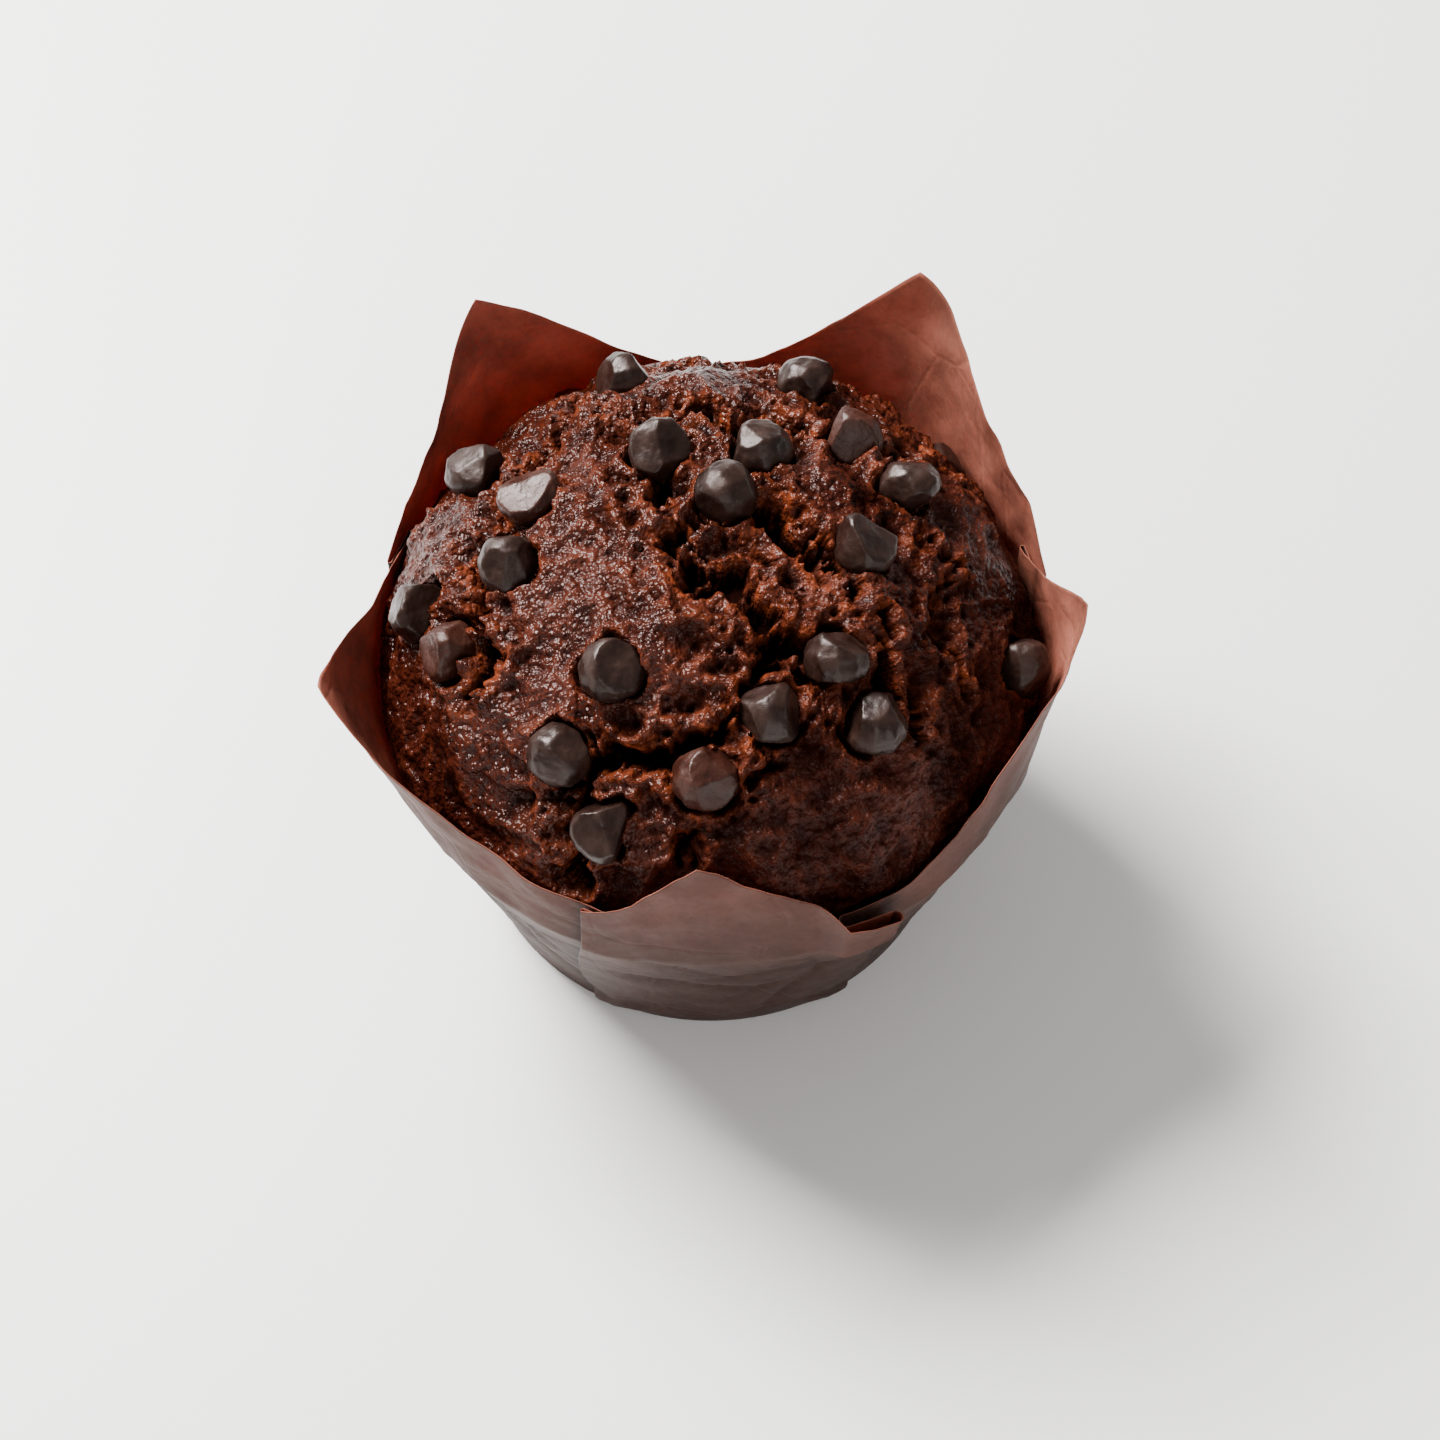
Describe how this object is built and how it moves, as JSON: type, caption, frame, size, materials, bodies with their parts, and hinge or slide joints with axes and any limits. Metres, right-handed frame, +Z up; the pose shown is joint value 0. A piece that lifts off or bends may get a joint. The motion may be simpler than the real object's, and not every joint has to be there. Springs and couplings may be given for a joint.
{
  "type": "chocolate muffin in a tulip case",
  "caption": "Large chocolate muffin with chocolate chips in its domed top, standing in a folded five-petal paper tulip case.",
  "frame": {"origin": "middle of the paper case's flat base, on the surface that the muffin stands on", "axes": "+Z up through the crown; +Y to the back, between the two tallest petals; +X to the right seen from the front"},
  "size_m": [0.0939, 0.0892, 0.0739],
  "materials": {
    "case_paper": "brown greaseproof parchment, satin, slightly translucent",
    "cake_crumb": "moist dark chocolate cake with a glistening bumpy crust and open crumb in its cracks",
    "chocolate": "dark baking chocolate with a soft sheen"
  },
  "bodies": {
    "root": {"tulip_case": "case_paper", "cake": "cake_crumb", "chocolate_chip_01": "chocolate", "chocolate_chip_02": "chocolate", "chocolate_chip_03": "chocolate", "chocolate_chip_04": "chocolate", "chocolate_chip_05": "chocolate", "chocolate_chip_06": "chocolate", "chocolate_chip_07": "chocolate", "chocolate_chip_08": "chocolate", "chocolate_chip_09": "chocolate", "chocolate_chip_10": "chocolate", "chocolate_chip_11": "chocolate", "chocolate_chip_12": "chocolate", "chocolate_chip_13": "chocolate", "chocolate_chip_14": "chocolate", "chocolate_chip_15": "chocolate", "chocolate_chip_16": "chocolate", "chocolate_chip_17": "chocolate", "chocolate_chip_18": "chocolate", "chocolate_chip_19": "chocolate", "chocolate_chip_20": "chocolate", "chocolate_chip_21": "chocolate", "chocolate_chip_22": "chocolate", "chocolate_chip_23": "chocolate", "chocolate_chip_24": "chocolate", "chocolate_chip_25": "chocolate", "chocolate_chip_26": "chocolate"}
  },
  "joints": []
}
